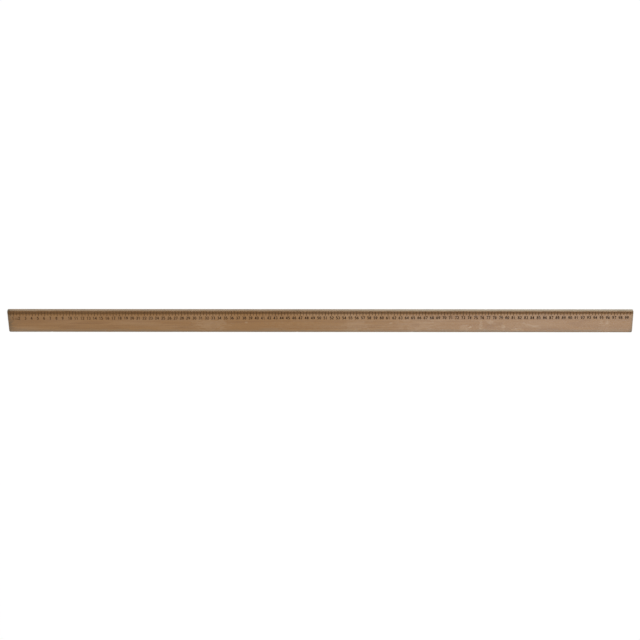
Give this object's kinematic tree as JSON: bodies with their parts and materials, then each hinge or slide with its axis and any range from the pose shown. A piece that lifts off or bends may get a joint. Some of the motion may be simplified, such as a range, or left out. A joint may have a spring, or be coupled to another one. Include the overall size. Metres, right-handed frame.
{
  "type": "metre ruler",
  "caption": "Straight wooden metre ruler: a flat rectangular stick with eased edges and a centimetre and millimetre scale printed along one edge of its face.",
  "frame": {"origin": "middle of the back face, halfway along the scale", "axes": "+X along the scale from the zero end to the hundred end, +Y across the face to the graduated edge, +Z out of the printed face"},
  "size_m": [1, 0.04, 0.006],
  "materials": {
    "varnished_wood": "satin",
    "ink": "matt"
  },
  "bodies": {
    "root": {"stick": "varnished_wood", "millimetre_marks": "ink", "half_centimetre_marks": "ink", "centimetre_marks": "ink"}
  },
  "joints": []
}
